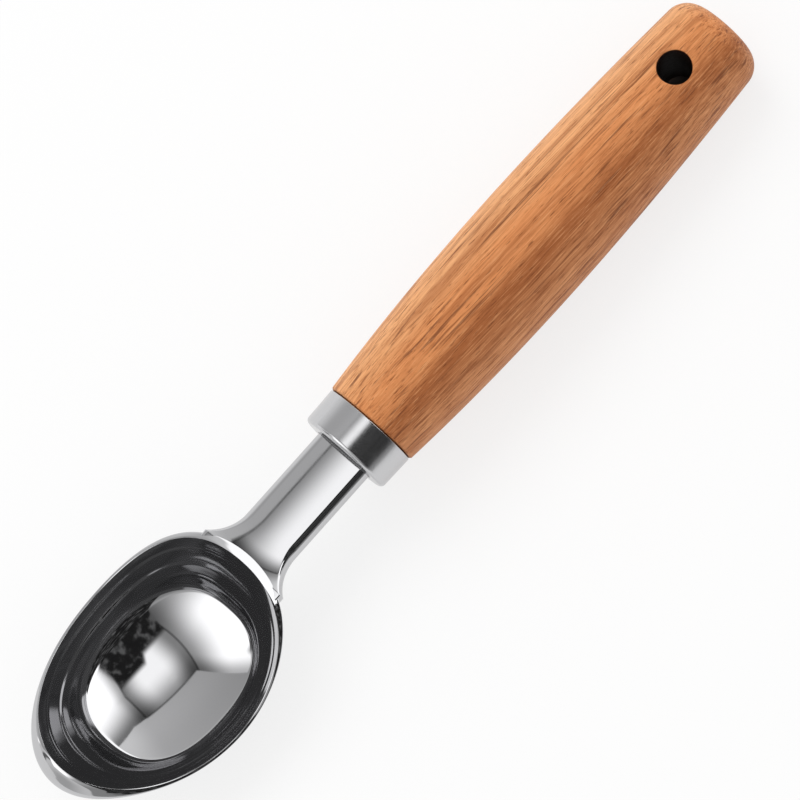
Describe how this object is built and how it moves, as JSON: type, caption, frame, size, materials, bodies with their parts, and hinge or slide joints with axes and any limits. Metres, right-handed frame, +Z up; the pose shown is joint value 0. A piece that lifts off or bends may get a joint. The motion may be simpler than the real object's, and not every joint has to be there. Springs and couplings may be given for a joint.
{
  "type": "ice cream scoop",
  "caption": "Ice cream scoop with a polished oval bowl on a flared metal neck, a steel ferrule and a turned wooden handle with a hanging hole.",
  "frame": {"origin": "middle of the box around the scoop, on the table that the bowl's back and the butt lie on", "axes": "+X along the scoop towards the bowl's tip, +Y across, +Z up out of the bowl's mouth; the handle's axis rises towards the bowl by the lift at which the scoop lies"},
  "size_m": [0.1992, 0.0412, 0.0282],
  "materials": {
    "polished_steel": "mirror polished",
    "satin_steel": "fine polished",
    "plain_steel": "as rolled",
    "cured_glue": "cured epoxy",
    "oiled_wood": "oiled, straight grain along the handle"
  },
  "bodies": {
    "root": {"bowl": "polished_steel", "shank": "polished_steel", "tang": "plain_steel", "tang_glue": "cured_glue", "ferrule": "satin_steel", "ferrule_glue": "cured_glue", "handle": "oiled_wood"}
  },
  "joints": []
}
